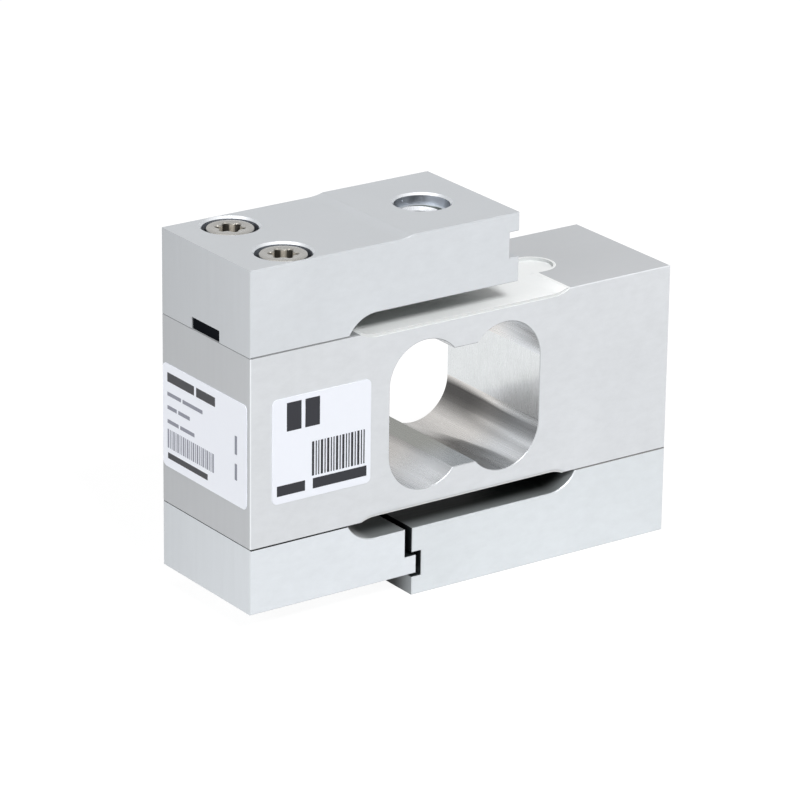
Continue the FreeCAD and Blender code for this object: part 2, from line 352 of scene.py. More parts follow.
def window_metal(nodes, tint, tone, grain, contrast=0.05):
    """Bright bored metal with a tone of painted light and shade over it and fine streaks in one direction.
    """
    streaks = nodes.noise(grain, detail=4.0, roughness=0.7)
    shade = nodes.mix(nodes.ranged(streaks, 0, 1), rgba(tint, 1 - contrast), rgba(tint, 1.0))
    return nodes.done(nodes.times(tone, shade), nodes.ranged(streaks, 0.22, 0.34),
                      0.85, height=streaks, strength=0.15)


def window_axes(nodes):
    """Millimetres from the window's middle; X and Z are the same on both sides of it."""
    x, y, z = nodes.axes((0, 0, MID_HEIGHT))
    return nodes.math("ABSOLUTE", x, 0.0), y, nodes.math("ABSOLUTE", z, 0.0)


def window_flat(name, tint):
    """The window's flat side: painted light, with a wedge of painted shade by one mouth."""
    nodes = Finish(name)
    place = nodes.axes((0, 0, MID_HEIGHT))
    height = nodes.math("ADD", place[2], nodes.math("MULTIPLY", place[1], 0.46))
    # Painted light above a slanting edge, painted shade in the wedge below it.
    light = nodes.smooth(height, -5.4, -3.8)
    mottle = nodes.ranged(nodes.noise((3, 2, 3)), 0.94, 1.0)
    tone = nodes.mix(light, (0.78, 0.80, 0.825, 1), (0.87, 0.895, 0.905, 1))
    tone = nodes.times(tone, mottle)
    return window_metal(nodes, tint, tone, (9, 0.25, 9))


def window_web(name, tint):
    """The flat face of a web: blue grey by the front, with a painted shade, darker and warmer, behind."""
    nodes = Finish(name)
    # Painted shade behind the front of the web.
    behind = nodes.smooth(nodes.axes()[1], -11.5, 0.0)
    tone = nodes.mix(behind, (0.37, 0.39, 0.41, 1), (0.25, 0.255, 0.235, 1))
    return window_metal(nodes, tint, tone, (0.3, 14, 0.3))


def window_bore(name, tint, front, middle, back, crescent=None):
    """A bore of the window, with painted reflection and shade in bands along it.

    Front, middle and back hold stops of angle and tone at three depths, the tones painted light and shade.
    The angle is in degrees from straight up or down, and grows towards the window's flat side.  Crescent
    is the angle where a painted dark crescent of reflection starts at the front, and how fast its edge
    bends away behind.
    """
    nodes = Finish(name)
    x, y, z = window_axes(nodes)
    out_x = nodes.math("SUBTRACT", x, LOBE_X / MM)
    out_z = nodes.math("SUBTRACT", z, LOBE_Z / MM)
    angle = nodes.math("MULTIPLY", nodes.math("ARCTAN2", out_x, out_z), math.degrees(1))
    waver = nodes.ranged(nodes.noise((2, 16, 2)), -1.5, 1.5)
    angle = nodes.math("ADD", angle, waver)
    tone = nodes.mix(nodes.smooth(y, -12.0, -2.0), nodes.bands(angle, front), nodes.bands(angle, middle))
    tone = nodes.mix(nodes.smooth(y, -2.0, 7.0), tone, nodes.bands(angle, back))
    # Painted reflection: a dark crescent whose edge bends away behind.
    if crescent:
        start, bend = crescent
        depth = nodes.math("ADD", y, 12.0)
        edge = nodes.math("MULTIPLY", nodes.math("MULTIPLY", depth, depth), bend)
        past = nodes.math("SUBTRACT", nodes.math("SUBTRACT", start, edge), angle)
        painted_dark = nodes.bands(past, ((0, 1.0), (2, 0.5), (4, 0.37), (8, 0.32), (16, 0.47), (21, 0.58),
                                  (27, 0.47)))
        share = nodes.bands(y, ((-14, 0.45), (-9, 0.7), (-5, 1.0), (1, 1.0), (7, 0.3), (11, 0.1)))
        tone = nodes.mix(share, tone, nodes.times(tone, painted_dark))
    # Painted cast of the light: bluer at the front, warmer behind.
    cast = nodes.mix(nodes.smooth(y, -9.0, 3.0), (0.97, 1.0, 1.04, 1), (1.03, 1.0, 0.97, 1))
    tone = nodes.times(tone, cast)
    return window_metal(nodes, tint, tone, (0.4, 18, 0.4), contrast=0.08)


def plain_film(name, tint, roughness, grain=0.6, contrast=0.015, bump=0.1, specular=0.5):
    """Film, coating or filler: nearly even, with a fine unevenness of its own."""
    nodes = Finish(name)
    fine = nodes.noise((grain,) * 3, detail=3.0)
    soft = nodes.noise((grain * 9,) * 3, detail=1.0)
    both = nodes.math("ADD", nodes.math("MULTIPLY", fine, 0.5), nodes.math("MULTIPLY", soft, 0.5))
    tone = nodes.mix(nodes.ranged(both, 0, 1), rgba(tint, 1 - contrast), rgba(tint, 1 + contrast))
    rough = nodes.ranged(soft, roughness - 0.04, roughness + 0.04)
    return nodes.done(tone, rough, 0.0, specular, both, bump, 0.05 * MM)


def turned_steel(name, tint, roughness, metallic=1.0):
    """Turned stainless steel, with rings about each screw's own axis."""
    nodes = Finish(name)
    radius = nodes.add("Attribute", {"attribute_name": "ring"}).outputs["Fac"]
    spread = nodes.add("CombineXYZ", X=radius).outputs[0]
    rings = nodes.add("TexNoise", Vector=spread, Scale=9.0, Detail=3.0).outputs[0]
    specks = nodes.noise((0.5, 0.5, 0.5), detail=2.0)
    both = nodes.math("MULTIPLY", nodes.math("ADD", rings, specks), 0.5)
    tone = nodes.mix(nodes.ranged(both, 0, 1), rgba(tint, 0.9), rgba(tint, 1.06))
    rough = nodes.ranged(specks, roughness - 0.05, roughness + 0.05)
    return nodes.done(tone, rough, metallic, height=rings, strength=0.25)


def socket_steel(name, screws):
    """Broached steel, with painted shade in the lobes and a painted highlight on each waist between them.
    """
    nodes = Finish(name)
    radius = nodes.add("Attribute", {"attribute_name": "ring"}).outputs["Fac"]
    # Painted highlight at the waists, painted shade deeper in the lobes.
    waist, tip = screws.waist_radius / MM, screws.tip_radius / MM
    tone = nodes.bands(radius, ((waist, 0.95), (waist + 0.2, 0.65), (waist + 0.35, 0.16), (tip, 0.07)))
    drag = nodes.ranged(nodes.noise((0.3, 0.3, 2.0)), 0.75, 1.0)
    tone = nodes.times(tone, drag)
    return nodes.done(nodes.times(tone, (0.90, 0.84, 0.73, 1)), 0.3, 0.5)


# ---- pieces ----
def add_piece(name, bm, materials, replaces=(), weighted=True):
    """Makes a finished object of the mesh and hangs it on the frame."""
    mesh = bpy.data.meshes.new(name)
    bm.to_mesh(mesh)
    bm.free()
    piece = bpy.data.objects.new(name, mesh)
    bpy.context.scene.collection.objects.link(piece)
    for material in materials:
        mesh.materials.append(material)
    if weighted:
        modifier = piece.modifiers.new("Even shading", "WEIGHTED_NORMAL")
        modifier.keep_sharp = True
    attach(piece, "root")
    if replaces:
        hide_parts(*replaces)
    return piece


def set_shading(bm, kink=KINK):
    for face in bm.faces:
        face.smooth = True
    for edge in bm.edges:
        edge.smooth = edge.is_manifold and edge.calc_face_angle(0.0) < kink


def merged_copy(node):
    """A closed mesh from a copy of a CAD node's loose triangles, its flat faces joined."""
    bm = bmesh.new()
    bm.from_mesh(frame["nodes"][node].data)
    bmesh.ops.remove_doubles(bm, verts=bm.verts, dist=MERGE_GAP)
    bmesh.ops.dissolve_limit(bm, angle_limit=math.radians(0.05), verts=bm.verts, edges=bm.edges)
    bm.normal_update()
    return bm


def around(point, axis_x, axis_y):
    return math.hypot(point.x - axis_x, point.y - axis_y)


def block_matrix(centre, size):
    """Places a unit cube as a block of the given size."""
    return Matrix.Translation(centre) @ Matrix.Diagonal((*size, 1))


def outer_zone(normal):
    """0 for a front or back face, 1 for an end, 2 for a top or underside, 3 for a chamfer."""
    if abs(normal.z) > 0.85:
        return 2
    for zone, value in enumerate((normal.y, normal.x)):
        if abs(value) > 0.97:
            return zone
    return 3


def body_zone(face):
    """4 the lower seam and edges that face down, 5 the recess, 6 the window's edge, 7 its flats,
    8 its webs, 9 the bore that lies in its own shade, 10 the other bores, 11 the upper seam."""
    centre, normal = face.calc_center_median(), face.normal
    across, up = centre.x, centre.z - MID_HEIGHT
    half_height = BODY_HIGH.z - MID_HEIGHT
    if abs(across) < WINDOW_SIDE + 0.5 * MM and abs(up) < WINDOW_REACH and abs(normal.y) < 0.97:
        if abs(normal.y) > 0.5:
            return 6
        if abs(normal.x) > 0.999 and abs(across) > WINDOW_SIDE - EDGE_BREAK / 2:
            return 7
        if abs(normal.z) > 0.999 and abs(across) < WEB_REACH:
            return 8
        return 9 if across > 0 > up else 10
    inner = abs(centre.y) < HALF_DEPTH - EDGE_BREAK and abs(across) < BODY_HIGH.x - 0.5 * MM
    if half_height - RECESS_DEPTH < abs(up) < half_height - MARGIN and inner:
        return 5
    zone = outer_zone(normal)
    if zone == 3 and abs(normal.z) > 0.5 and abs(up) > half_height - EDGE_BREAK:
        if up < 0:
            return 4
        return 11 if across < UPPER_SEAM_END else 3
    return zone


def block_zone(bores, relief_low, relief_high, seam, gap_x=None):
    """Sorts a load block's faces; bores are their axes and radii, seam the height where it meets
    the body, gap_x a face in the stop's gap.

    4 a relief, 5 a counterbore's wall, 6 a bore's chamfer or lead-in, 7 a bore's ledge, 8 the
    stop's gap, 9 the wall of the bore on the load axis, 10 the stop's free end, 11 the seam.
    """

    def sort(face):
        centre, normal = face.calc_center_median(), face.normal
        corners = [v.co for v in face.verts]
        for axis_x, axis_y, radius in bores:
            if max(around(corner, axis_x, axis_y) for corner in corners) < radius:
                if not axis_x and min(around(corner, 0, 0) for corner in corners) < THREAD_MOUTH:
                    return 7 if abs(normal.z) > 0.9 else 4
                if abs(normal.z) < 0.3:
                    return 5 if axis_x else 9
                return 6 if abs(normal.z) < 0.9 else 7
        low = min(c.z for c in corners)
        high = max(c.z for c in corners)
        if low > relief_low and high < relief_high and abs(normal.y) < 0.5:
            return 4
        if gap_x is not None and abs(normal.y) < 0.5 and abs(centre.x - gap_x) < GAP_REACH:
            lowest = high < GAP_LIP and abs(normal.x) > 0.9
            return 10 if lowest else 8
        zone = outer_zone(normal)
        at_seam = low > relief_low and high < relief_high and max(high - seam, seam - low) < EDGE_BREAK
        return 11 if zone == 3 and at_seam else zone

    return sort


def mark_bearings(bm, bores):
    """Stores at each bore's corners the direction that they lie in from its axis."""
    bearing = bm.verts.layers.float_vector.new("bearing")
    for vert in bm.verts:
        for axis_x, axis_y, radius in bores:
            reach = around(vert.co, axis_x, axis_y)
            if 0 < reach < radius:
                vert[bearing] = ((vert.co.x - axis_x) / reach, (vert.co.y - axis_y) / reach, 0)


def dress(node, name, zone, materials, bores=(), prepare=None):
    """Replaces a CAD node by its merged copy, with a finish for each group of faces."""
    bm = merged_copy(node)
    if prepare:
        prepare(bm)
    if bores:
        mark_bearings(bm, bores)
    for face in bm.faces:
        face.material_index = zone(face)
    set_shading(bm)
    return add_piece(name, bm, materials, (node,))


def screw_axes(*nodes):
    axes = []
    for node in nodes:
        low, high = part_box(node)
        axes.append(((low.x + high.x) / 2, (low.y + high.y) / 2, BORE_REACH))
    return axes


def open_thread_bore(bm):
    """Widens the bore on the load axis from the thread's core to its root, up to its entry."""
    radius = bpy.context.scene.load_cell_thread.major_radius
    share = (CORE_RADIUS + LEAD_IN - radius) / LEAD_IN
    for vert in bm.verts:
        reach = math.hypot(vert.co.x, vert.co.y)
        if CORE_RADIUS - MARGIN < reach < CORE_RADIUS + LEAD_IN - MARGIN:
            wanted = radius + (reach - CORE_RADIUS) * share
            vert.co.x *= wanted / reach
            vert.co.y *= wanted / reach


class LOADCELL_OT_body(bpy.types.Operator):
    """Finish the bending body: milled faces, bored window and bare recess edges"""
    bl_idname = "loadcell.body"
    bl_label = "Bending Body"

    def execute(self, context):
        finish = context.scene.load_cell_finish
        tint, window = finish.body, finish.window
        # Painted shade: the window's edge is a darker copy of the body's metal.
        edge = plain_metal("window_edge", (0.44, 0.455, 0.47))
        recess = plain_film("recess_floor", toned(finish.coating, 0.80), 0.5, grain=1.0)
        # Stops of painted reflection and shade in the window's bores, at their front, middle and back.
        shaded_front = ((-60, 0.56), (-14, 0.54), (22, 0.60), (28, 0.76), (34, 0.73), (46, 0.56),
                        (52, 0.68), (58, 0.43), (62, 0.30), (72, 0.22), (78, 0.28), (84, 0.84),
                        (90, 0.60))
        shaded_middle = ((-60, 0.58), (-14, 0.60), (22, 0.64), (28, 0.67), (38, 0.60), (46, 0.43),
                         (54, 0.54), (58, 0.32), (66, 0.19), (78, 0.155), (84, 0.90), (90, 0.76))
        shaded_back = ((-60, 0.36), (-14, 0.38), (-8, 0.52), (4, 0.52), (16, 0.60), (32, 0.64),
                       (42, 0.47), (50, 0.29), (58, 0.15), (66, 0.095), (79, 0.08), (85, 0.52), (90, 0.84))
        open_front = ((-70, 0.56), (-60, 0.50), (-50, 0.57), (-30, 0.76), (-10, 0.71), (0, 0.64),
                      (50, 0.85), (60, 0.66), (70, 0.62), (80, 0.66), (90, 0.85))
        open_middle = ((-60, 0.40), (-50, 0.36), (-40, 0.55), (-10, 0.59), (0, 0.52), (50, 0.80),
                       (60, 0.64), (70, 0.74), (80, 0.86))
        open_back = ((-70, 0.40), (-60, 0.52), (-50, 0.33), (-40, 0.50), (0, 0.46), (30, 0.56),
                     (90, 0.70))
        materials = [
            # Painted light and shade: the end and top are darker copies of the side's metal, the end
            # darker still towards its back, and the chamfers a lighter copy as a painted highlight.
            milled("body_side", tint, (3, 1, 1.6), contrast=0.035, cloud=0.04),
            milled("body_end", toned(tint, 0.71), (1, 1.4, 22), contrast=0.03, back=0.9),
            milled("body_top", toned(tint, 0.75), (4, 2, 1)),
            plain_metal("body_chamfer", toned(tint, 1.06)),
            # Painted shade along the lower seam and on the edges that face down.
            milled("lower_seam", (0.01, 0.011, 0.012), (1, 1, 1)),
            recess,
            edge,
            window_flat("window_flat", window),
            window_web("window_web", window),
            window_bore("window_bore_shaded", window, shaded_front, shaded_middle, shaded_back,
                        (24.5, 0.05)),
            window_bore("window_bore_open", window, open_front, open_middle, open_back),
            # Painted shade along the upper seam, under the upper block.
            milled("upper_seam", (0.28, 0.29, 0.30), (1, 1, 1)),
        ]
        dress("spring_body", "bending_body", body_zone, materials)
        return {"FINISHED"}


def block_materials(prefix, tint, end, top, seam, deep_shade=(0.008, 0.011, 0.010), reach=9.6):
    """One block's finishes: end and top are the tones of those faces' painted shade against the side, seam
    the grey of the seam's painted shade;
    deep_shade is the colour of the relief's painted shade up to reach millimetres from the cell's middle
    plane."""
    # Painted shade: the counterbore's wall and the relief are darker than the block's metal, as shade in
    # those hollows.
    wall = (0.36, 0.39, 0.44)
    relief = (0.52, 0.55, 0.56)
    ledge = UPPER_HIGH.z - MID_HEIGHT - BORE_DEPTH
    return [
        milled(prefix + "_side", tint, (3, 1, 1.6), contrast=0.03, cloud=0.04),
        milled(prefix + "_end", toned(tint, end), (1, 1.4, 22), contrast=0.028, back=0.86),
        milled(prefix + "_top", toned(tint, top), (4, 2, 1)),
        # Painted shade: the chamfers are a darker copy of the block's metal.
        plain_metal(prefix + "_chamfer", toned(tint, 0.80)),
        bored(prefix + "_relief", relief, deep_shade, reach, 14.3),
        bored(prefix + "_counterbore", wall, wall, 0.0, 1.0),
        rim(prefix + "_rim"),
        milled(prefix + "_ledge", (0.56, 0.59, 0.62), (1, 1, 1), contrast=0.01),
        # Painted shade in the stop's gap, darkest towards the middle of the depth.
        bored(prefix + "_gap", (0.08, 0.095, 0.10), (0.008, 0.009, 0.01), 11.0, 14.0),
        load_bore(prefix + "_load_bore", (0.62, 0.655, 0.71), ledge / MM, (ledge + BORE_DEPTH) / MM),
        # Painted shade on the stop's free end, darkest towards the middle of the depth.
        bored(prefix + "_free_end", (0.28, 0.30, 0.31), (0.008, 0.009, 0.009), 8.0, 14.2),
        # Painted shade along the seam.
        plain_metal(prefix + "_seam", (seam,) * 3),
    ]


class LOADCELL_OT_blocks(bpy.types.Operator):
    """Finish both load blocks and the overload stop"""
    bl_idname = "loadcell.blocks"
    bl_label = "Load Blocks and Stop"

    def execute(self, context):
        finish = context.scene.load_cell_finish
        thread = (0.0, 0.0, BORE_REACH)
        upper = screw_axes("upper_block_screw_front", "upper_block_screw_back") + [thread]
        lower = screw_axes("lower_block_screw_front", "lower_block_screw_back") + [thread]
        stop = screw_axes("stop_screw_front", "stop_screw_back")
        seam = UPPER_LOW.z
        low_seam = BODY_LOW.z
        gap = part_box("lower_load_block")[0].x
        dress("upper_load_block", "upper_block",
              block_zone(upper, seam - MARGIN, seam + RELIEF_DEPTH, seam),
              block_materials("upper", finish.upper, 0.80, 0.775, 0.3, (0.18, 0.205, 0.19)),
              upper, open_thread_bore)
        dress("lower_load_block", "lower_block",
              block_zone(lower, low_seam - RELIEF_DEPTH, low_seam + MARGIN, low_seam, gap),
              block_materials("lower", finish.lower, 0.80, 0.80, 0.3),
              lower, open_thread_bore)
        dress("overload_stop", "stop_block",
              block_zone(stop, low_seam - RELIEF_DEPTH, low_seam + MARGIN, low_seam, gap),
              block_materials("stop", finish.stop, 0.86, 0.80, 0.02, (0.05, 0.06, 0.06), 8.5),
              stop)
        return {"FINISHED"}


def thread_ridge(thread):
    """The ridge between the turns of the upper bore's thread, wound down from above the ledge."""
    mount = frame["record"]["mounts"][0]
    half_length = mount["dims"]["length_mm"] * MM / 2
    foot = 0.04 * MM            # how far the ridge reaches into the block's metal
    flare = 0.25 * MM           # how far the entry opens past the thread's root
    lead_out = 0.5 * MM         # chamfer at the far mouth
    runout = 0.3 * MM           # from the last turn to the far mouth
    clear = 0.02 * MM           # from the first turn to the ledge
    outer = thread.major_radius + 2 * foot
    low = mount["pos_m"][2] - half_length
    ledge = mount["pos_m"][2] + half_length + LEAD_IN
    start = -Vector((math.cos(thread.start), math.sin(thread.start)))
    slope = [(CORE_RADIUS + share * (outer - CORE_RADIUS), 0.13 + 0.34 * share)
             for share in (1.0, 0.75, 0.5, 0.25, 0.0)]
    section = slope + [(CORE_RADIUS, -0.13), (outer, -0.47)]
    bm = bmesh.new()
    verts = [bm.verts.new((radius * start.x, radius * start.y, ledge + (0.5 + share) * thread.pitch))
             for radius, share in section]
    edges = [bm.edges.new(pair) for pair in zip(verts, verts[1:] + verts[:1])]
    turns = 0.5 + (ledge - low - runout) / thread.pitch
    steps = int(turns * thread.steps)
    bmesh.ops.spin(bm, geom=verts + edges, cent=(0, 0, 0), axis=(0, 0, 1),
                   dvec=(0, 0, -thread.pitch / thread.steps),
                   angle=-steps * 2 * math.pi / thread.steps, steps=steps)
    open_edges = [edge for edge in bm.edges if edge.is_boundary]
    bmesh.ops.holes_fill(bm, edges=open_edges, sides=len(section))
    for vert in bm.verts:
        vert.co.z = min(vert.co.z, ledge - clear)
        depth = ledge - vert.co.z
        wall = thread.major_radius + foot + flare * max(0.0, 1 - depth / LEAD_IN)
        radius = math.hypot(vert.co.x, vert.co.y)
        wanted = wall + foot
        if radius < thread.major_radius:
            entry = CORE_RADIUS + LEAD_IN - depth
            leave = CORE_RADIUS + lead_out - (vert.co.z - low)
            wanted = min(max(radius, entry, leave), wall)
        vert.co.x *= wanted / radius
        vert.co.y *= wanted / radius
    bmesh.ops.remove_doubles(bm, verts=bm.verts, dist=MERGE_GAP)
    bmesh.ops.recalc_face_normals(bm, faces=bm.faces)
    return bm


class LOADCELL_OT_threads(bpy.types.Operator):
    """Cut the metric thread into both bores on the load axis"""
    bl_idname = "loadcell.threads"
    bl_label = "Load Threads"

    def execute(self, context):
        thread = context.scene.load_cell_thread
        # Painted shade: the thread's flanks are dark, as shade inside the bore.
        painted_dark = (0.12, 0.13, 0.14)
        materials = [
            bored("thread_flank", painted_dark, painted_dark, 0.0, 1.0, 0.3),
            plain_metal("thread_lead_in", (0.70, 0.72, 0.75), 0.25, 0.8),
        ]
        for name, turn in (("upper_thread_ridge", None), ("lower_thread_ridge", TURN)):
            bm = thread_ridge(thread)
            for face in bm.faces:
                face.material_index = int(abs(face.normal.z) < LEAD_IN_SLOPE)
            if turn:
                bmesh.ops.transform(bm, matrix=turn, verts=bm.verts)
                bmesh.ops.recalc_face_normals(bm, faces=bm.faces)
            set_shading(bm, math.radians(35))
            add_piece(name, bm, materials, weighted=False)
        return {"FINISHED"}


def lobed_radius(angle, screws):
    """Polar radius of the socket: round tips and round waists, each tangent to the next."""
    tip_centre = screws.tip_radius - screws.tip_round
    along = tip_centre * math.cos(math.pi / 6)
    waist_round = (screws.tip_round ** 2 - tip_centre ** 2 - screws.waist_radius ** 2
                   + 2 * along * screws.waist_radius)
    waist_round /= 2 * (screws.waist_radius - along - screws.tip_round)
    waist_centre = screws.waist_radius + waist_round
    fold = abs((angle + math.pi / 6) % (math.pi / 3) - math.pi / 6)
    share = screws.tip_round / (screws.tip_round + waist_round)
    tip = Vector((tip_centre, 0))
    waist = Vector((waist_centre * math.cos(math.pi / 6), waist_centre * math.sin(math.pi / 6)))
    joint = tip + (waist - tip) * share
    if fold <= math.atan2(joint.y, joint.x):
        inner = screws.tip_round ** 2 - (tip_centre * math.sin(fold)) ** 2
        return tip_centre * math.cos(fold) + math.sqrt(max(inner, 0.0))
    rest = math.pi / 6 - fold
    inner = waist_round ** 2 - (waist_centre * math.sin(rest)) ** 2
    return waist_centre * math.cos(rest) - math.sqrt(max(inner, 0.0))


def reshape_ring(bm, face, radius, z, material=None):
    """Insets a face and moves its corners to a radius, which may depend on the angle."""
    result = bmesh.ops.inset_individual(bm, faces=[face], thickness=1e-5)
    for vert in face.verts:
        angle = math.atan2(vert.co.y, vert.co.x)
        reach = radius(angle) if callable(radius) else radius
        vert.co = (reach * math.cos(angle), reach * math.sin(angle), z)
    if material is not None:
        for wall in result["faces"]:
            wall.material_index = material


def cap_screw_mesh(screws, length, turn):
    """A cap screw that points down, its head seated at z = 0 and its socket turned by an angle."""
    bm = bmesh.new()
    height = screws.head_height
    bmesh.ops.create_cone(bm, cap_ends=True, segments=120, radius1=screws.head_radius,
                          radius2=screws.head_radius, depth=height,
                          matrix=Matrix.Translation((0, 0, height / 2)))
    rim = [e for e in bm.edges if all(v.co.z > height * 0.99 for v in e.verts)]
    bmesh.ops.bevel(bm, geom=rim, offset=screws.head_round, segments=4, profile=0.5,
                    affect="EDGES", material=-1)
    bm.normal_update()
    top = max(bm.faces, key=lambda f: f.calc_center_median().z * 10 + f.calc_area())
    bottom = min(bm.faces, key=lambda f: f.calc_center_median().z)

    def outline(spread):
        return lambda angle: lobed_radius(angle + turn, screws) + spread

    floor = height - screws.socket_depth
    fillet, tip_chamfer = 0.2 * MM, 0.5 * MM
    # the dished land round the socket, its broken edge, its wall and the drilled floor
    reshape_ring(bm, top, screws.tip_radius + 0.55 * MM, height)
    reshape_ring(bm, top, screws.tip_radius + 0.4 * MM, height - 0.04 * MM)
    reshape_ring(bm, top, outline(0.18 * MM), height - 0.05 * MM)
    reshape_ring(bm, top, outline(0.0), height - 0.23 * MM, 3)
    reshape_ring(bm, top, outline(0.0), floor, 1)
    reshape_ring(bm, top, 1.5 * MM, floor - 0.12 * MM, 2)
    reshape_ring(bm, top, 0.5 * MM, floor - 0.55 * MM, 2)
    top.material_index = 2
    # the shank under the head
    reshape_ring(bm, bottom, screws.shank_radius + fillet, 0)
    reshape_ring(bm, bottom, screws.shank_radius, -fillet)
    reshape_ring(bm, bottom, screws.shank_radius, tip_chamfer - length)
    reshape_ring(bm, bottom, screws.shank_radius - tip_chamfer, -length)
    ring = bm.verts.layers.float.new("ring")
    for vert in bm.verts:
        vert[ring] = math.hypot(vert.co.x, vert.co.y) / MM
    bmesh.ops.recalc_face_normals(bm, faces=bm.faces)
    set_shading(bm, math.radians(28))
    return bm


class LOADCELL_OT_screws(bpy.types.Operator):
    """Build the six cap screws with their six-lobed sockets"""
    bl_idname = "loadcell.screws"
    bl_label = "Cap Screws"

    def execute(self, context):
        screws = context.scene.load_cell_screws
        tint = context.scene.load_cell_finish.screw
        # The socket's floor and the chamfer at its mouth are painted darker than the head, as shade in the
        # socket.
        materials = [turned_steel("screw_head", tint, 0.28),
                     socket_steel("screw_socket", screws),
                     turned_steel("screw_socket_floor", (0.12, 0.10, 0.075), 0.5, metallic=0.3),
                     turned_steel("screw_rim", (0.26, 0.25, 0.23), 0.5)]
        names = [group + side for group in ("upper_block_screw_", "lower_block_screw_", "stop_screw_")
                 for side in ("front", "back")]
        for index, node in enumerate(names):
            low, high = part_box(node)
            hangs = node.startswith("upper")
            total = high.z - low.z
            turn = 0.6 + 0.12 * index
            bm = cap_screw_mesh(screws, total - screws.head_height, turn)
            seat = high.z - screws.head_height if hangs else low.z + screws.head_height
            move = Matrix.Translation(((low.x + high.x) / 2, (low.y + high.y) / 2, seat))
            if not hangs:
                move = move @ Matrix.Rotation(math.pi, 4, "Y")
            bmesh.ops.transform(bm, matrix=move, verts=bm.verts)
            add_piece("cap_" + node, bm, materials, (node,))
        return {"FINISHED"}


class LOADCELL_OT_gauges(bpy.types.Operator):
    """Finish the coated gauge recesses and what lies under the coating"""
    bl_idname = "loadcell.gauges"
    bl_label = "Gauge Coating"

    def execute(self, context):
        tint = context.scene.load_cell_finish.coating
        coat = plain_film("gauge_coating_film", tint, 0.40, grain=1.2, bump=0.2, specular=0.7)
        # Painted shade: the coating's steep faces are a darker copy of its film.
        edge = plain_film("gauge_coating_edge", toned(tint, 0.70), 0.5, grain=1.2)
        foil = plain_film("gauge_foil_film", (0.55, 0.33, 0.16), 0.35, grain=0.3)
        board = plain_film("terminal_film", (0.42, 0.36, 0.12), 0.5, grain=0.4)
        for side in ("upper", "lower"):
            dress(side + "_gauge_cover", side + "_gauge_coating",
                  lambda face: int(abs(face.normal.z) < 0.9), [coat, edge])
            paint(side + "_strain_gauge_left", foil)
            paint(side + "_strain_gauge_right", foil)
            paint(side + "_terminal_strip", board)
        return {"FINISHED"}


def paint(node, material):
    """Gives a CAD node that is shown as it is a material of its own."""
    data = frame["nodes"][node].data
    data.materials.clear()
    data.materials.append(material)


class LOADCELL_OT_potting(bpy.types.Operator):
    """Fill both cable channels with dark potting that sinks in the middle"""
    bl_idname = "loadcell.potting"
    bl_label = "Channel Potting"

    def execute(self, context):
        tint = context.scene.load_cell_finish.potting
        sink = 0.35 * MM
        filler = plain_film("potting_filler", tint, 0.8, grain=0.8, contrast=0.2, bump=0.3,
                            specular=0.05)
        for node, outward in (("upper_channel_seal", -1), ("lower_channel_seal", 1)):
            low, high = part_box(node)
            size = high - low
            centre = (low + high) / 2
            bm = bmesh.new()
            bmesh.ops.create_cube(bm, size=1.0, matrix=block_matrix(centre, size))
            end = [f for f in bm.faces if f.normal.x * outward > 0.9]
            bmesh.ops.subdivide_edges(bm, edges=end[0].edges[:], cuts=11, use_grid_fill=True)
            face_x = low.x if outward < 0 else high.x
            for vert in bm.verts:
                if abs(vert.co.x - face_x) < MERGE_GAP:
                    across = abs(vert.co.y - centre.y) / (size.y / 2)
                    up = abs(vert.co.z - centre.z) / (size.z / 2)
                    vert.co.x -= outward * sink * (1 - across ** 6) * (1 - up ** 4)
            bm.normal_update()
            set_shading(bm, math.radians(50))
            add_piece(node.replace("seal", "potting"), bm, [filler], (node,))
        return {"FINISHED"}


class LOADCELL_OT_labels(bpy.types.Operator):
    """Finish both adhesive labels and their plain print"""
    bl_idname = "loadcell.labels"
    bl_label = "Labels"

    def execute(self, context):
        finish = context.scene.load_cell_finish
        film = plain_film("label_film_face", finish.label, 0.35, grain=0.8, contrast=0.006, bump=0.05)
        ink = plain_film("label_ink", finish.ink, 0.4, grain=0.4, contrast=0.1)
        faded = plain_film("label_ink_faded", (0.24, 0.25, 0.3), 0.45, grain=0.4, contrast=0.1)
        for node in ("front_label", "end_label"):
            paint(node, film)
        front = [(2.9, 13.0, 3.0, 5.2, 0), (6.7, 13.0, 3.0, 5.2, 0), (0.9, 1.4, 5.8, 1.9, 0),
                 (8.3, 1.4, 11.2, 1.9, 0)]
        front += bar_strip(8.1, 3.8, 11.5, 6.3, 0)
        end = [(1.5, 15.9, 8.6, 1.7, 0), (10.8, 15.9, 6.0, 1.7, 0), (1.5, 13.3, 4.4, 0.7, 1),
               (6.4, 13.3, 6.4, 0.7, 1), (1.5, 10.8, 3.0, 0.7, 1), (5.0, 10.8, 3.7, 0.7, 1),
               (1.5, 8.2, 3.6, 0.7, 1), (5.6, 8.2, 4.6, 0.7, 1), (1.6, 1.6, 12.8, 1.1, 0),
               (23.0, 9.3, 0.7, 3.4, 1), (23.0, 4.6, 0.7, 3.0, 1)]
        end += bar_strip(1.5, 3.6, 15.3, 3.5, 1)
        print_label("front_label_print", "front_label", front, [ink, faded])
        print_label("end_label_print", "end_label", end, [ink, faded])
        return {"FINISHED"}


def bar_strip(left, low, width, height, ink):
    """A plain strip of upright bars in a repeating rhythm."""
    rhythm = (0.46, 0.24, 0.24, 0.46, 0.24)
    bars = []
    at = left
    index = 0
    while at + 0.46 < left + width:
        bar = rhythm[index % len(rhythm)]
        bars.append((at, low, bar, height, ink))
        at += bar + 0.3
        index += 1
    return bars


